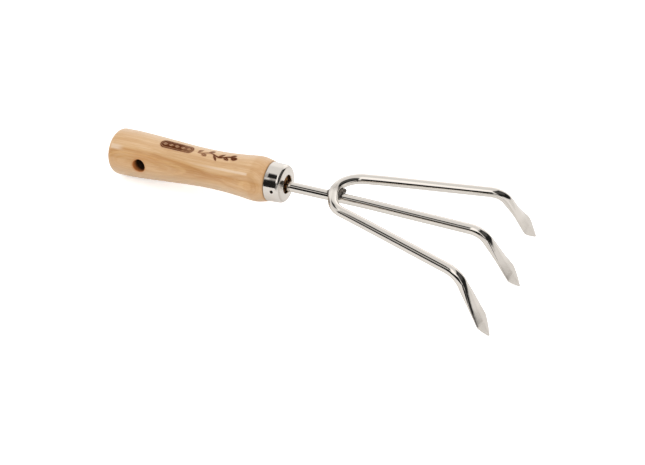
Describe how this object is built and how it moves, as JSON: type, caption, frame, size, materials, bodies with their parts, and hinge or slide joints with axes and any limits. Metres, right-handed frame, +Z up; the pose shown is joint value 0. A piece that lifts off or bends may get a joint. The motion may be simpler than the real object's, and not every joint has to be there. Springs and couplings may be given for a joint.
{
  "type": "hand rake",
  "caption": "Hand rake: turned ash handle with a hanging hole and a bright steel ferrule, welded round-bar head whose tines bend down to flat spear-shaped blades.",
  "frame": {"origin": "centre of the handle's flat butt face", "axes": "+X along the handle's axis towards the tines, +Z up with the tines pointing down to -Z, +Y to the left when looking along +X"},
  "size_m": [0.2994, 0.1112, 0.0626],
  "materials": {
    "handle_wood": "light ash, fine straight grain, thin satin lacquer",
    "ferrule_steel": "bright polished stainless steel, rounded lip",
    "pin_steel": "dull steel, sunk below the surface",
    "rod_steel": "bright polished stainless steel, forged ends",
    "weld_metal": "polished-over weld with dark heat tint in its creases"
  },
  "bodies": {
    "root": {"handle": "handle_wood", "ferrule": "ferrule_steel", "ferrule_pin": "pin_steel", "centre_tine_rod": "rod_steel", "outer_tine_rod": "rod_steel", "weld_bead_inner": "weld_metal", "weld_bead_outer": "weld_metal"}
  },
  "joints": []
}
